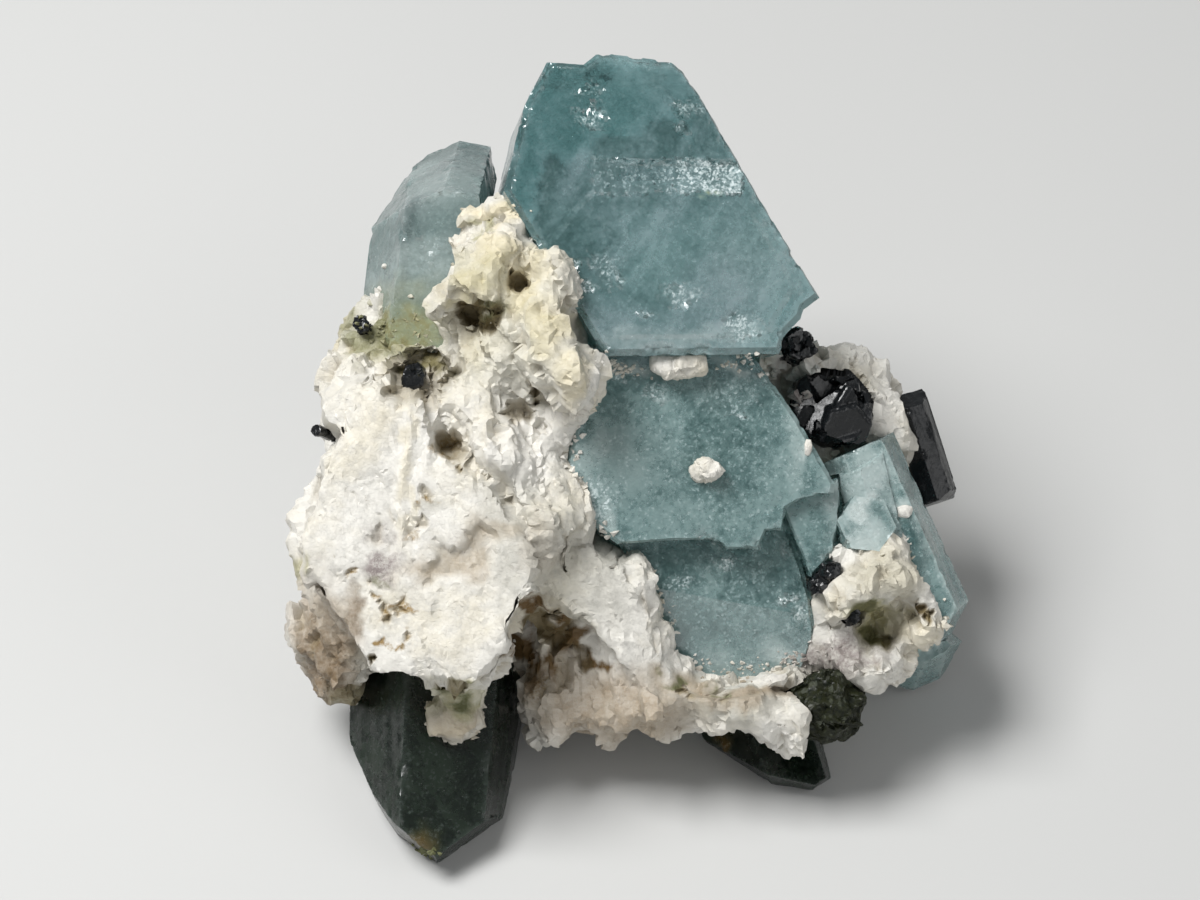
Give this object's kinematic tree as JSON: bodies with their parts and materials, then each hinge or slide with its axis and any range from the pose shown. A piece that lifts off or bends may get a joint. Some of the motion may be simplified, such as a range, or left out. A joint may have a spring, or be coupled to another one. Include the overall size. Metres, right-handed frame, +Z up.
{
  "type": "aquamarine crystal cluster on matrix",
  "caption": "Mineral specimen: stout blue-green beryl crystals in stepped parallel growth on white albite with black schorl crystals and a lump of mica.",
  "frame": {"origin": "on the table, under the middle of the specimen's bounding box", "axes": "+Z up; +X to the right of the display side; the display side faces -Y and up, leaning back at 45 degrees"},
  "size_m": [0.0518, 0.053, 0.0457],
  "materials": {
    "aquamarine": "clear to cloudy blue-green beryl with lustrous, finely etched faces",
    "pale_aquamarine": "pale frosty beryl with a glassy lustre",
    "deep_aquamarine": "clear dark green-blue beryl with a glassy lustre",
    "albite": "matt white sugary and bladed feldspar with brown stains in its pits",
    "schorl": "glossy black tourmaline",
    "mica": "dark greenish-grey sparkling flakes"
  },
  "bodies": {
    "root": {"aquamarine_cluster": "aquamarine", "upper_left_crystal": "pale_aquamarine", "right_crystal_group": "aquamarine", "lower_right_crystal": "aquamarine", "lower_left_crystal": "deep_aquamarine", "foot_crystal": "deep_aquamarine", "albite_matrix": "albite", "albite_crust_ridge": "albite", "albite_crust_dot": "albite", "schorl_big": "schorl", "schorl_rod": "schorl", "schorl_top": "schorl", "schorl_twin": "schorl", "schorl_cavity": "schorl", "schorl_left": "schorl", "schorl_shadow": "schorl", "schorl_bead": "schorl", "mica_lump": "mica"}
  },
  "joints": []
}
